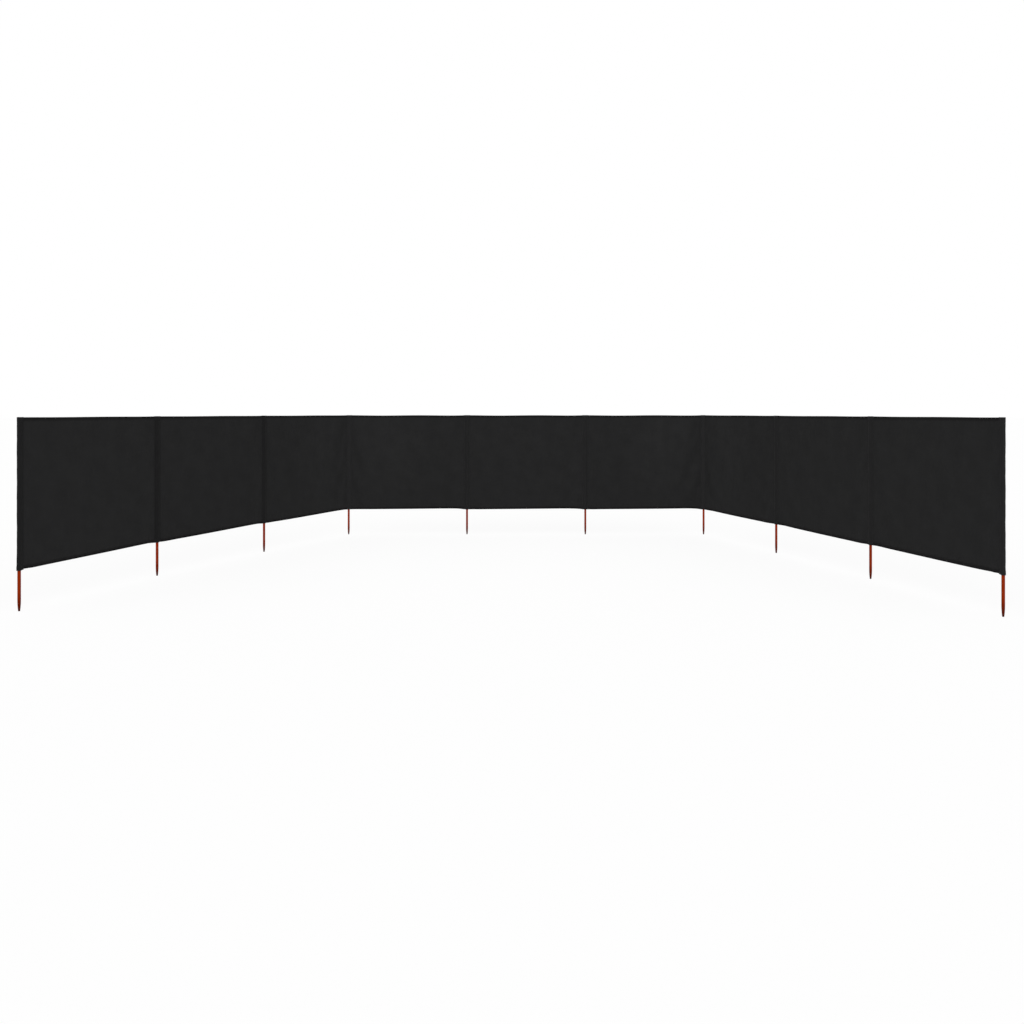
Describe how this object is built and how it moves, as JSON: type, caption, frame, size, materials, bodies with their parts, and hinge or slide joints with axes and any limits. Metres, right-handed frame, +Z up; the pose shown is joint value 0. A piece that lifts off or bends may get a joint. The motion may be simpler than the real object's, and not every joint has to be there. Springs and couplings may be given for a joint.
{
  "type": "beach windbreak",
  "caption": "Long black cloth windbreak sewn into equal bays, with a pointed wooden pole in the pocket between each two, pitched in an open U against the wind.",
  "frame": {"origin": "centre of the flat foot of pole_5, the second pole of the middle row from the left as seen from the sheltered side", "axes": "+X along the middle row to the right as seen from the sheltered side, +Y into the wind, +Z up along the poles"},
  "size_m": [6.7433, 3.8572, 1.3412],
  "materials": {
    "cloth": "plain woven polyester, matt black",
    "pole_wood": "red-brown hardwood, oiled satin"
  },
  "bodies": {
    "root": {"pole_1": "pole_wood", "pole_2": "pole_wood", "pole_3": "pole_wood", "pole_4": "pole_wood", "pole_5": "pole_wood", "pole_6": "pole_wood", "pole_7": "pole_wood", "pole_8": "pole_wood", "pole_9": "pole_wood", "pole_10": "pole_wood", "pocket_1": "cloth", "pocket_2": "cloth", "pocket_3": "cloth", "pocket_4": "cloth", "pocket_5": "cloth", "pocket_6": "cloth", "pocket_7": "cloth", "pocket_8": "cloth", "pocket_9": "cloth", "pocket_10": "cloth", "panel_1": "cloth", "panel_2": "cloth", "panel_3": "cloth", "panel_4": "cloth", "panel_5": "cloth", "panel_6": "cloth", "panel_7": "cloth", "panel_8": "cloth", "panel_9": "cloth"}
  },
  "joints": []
}
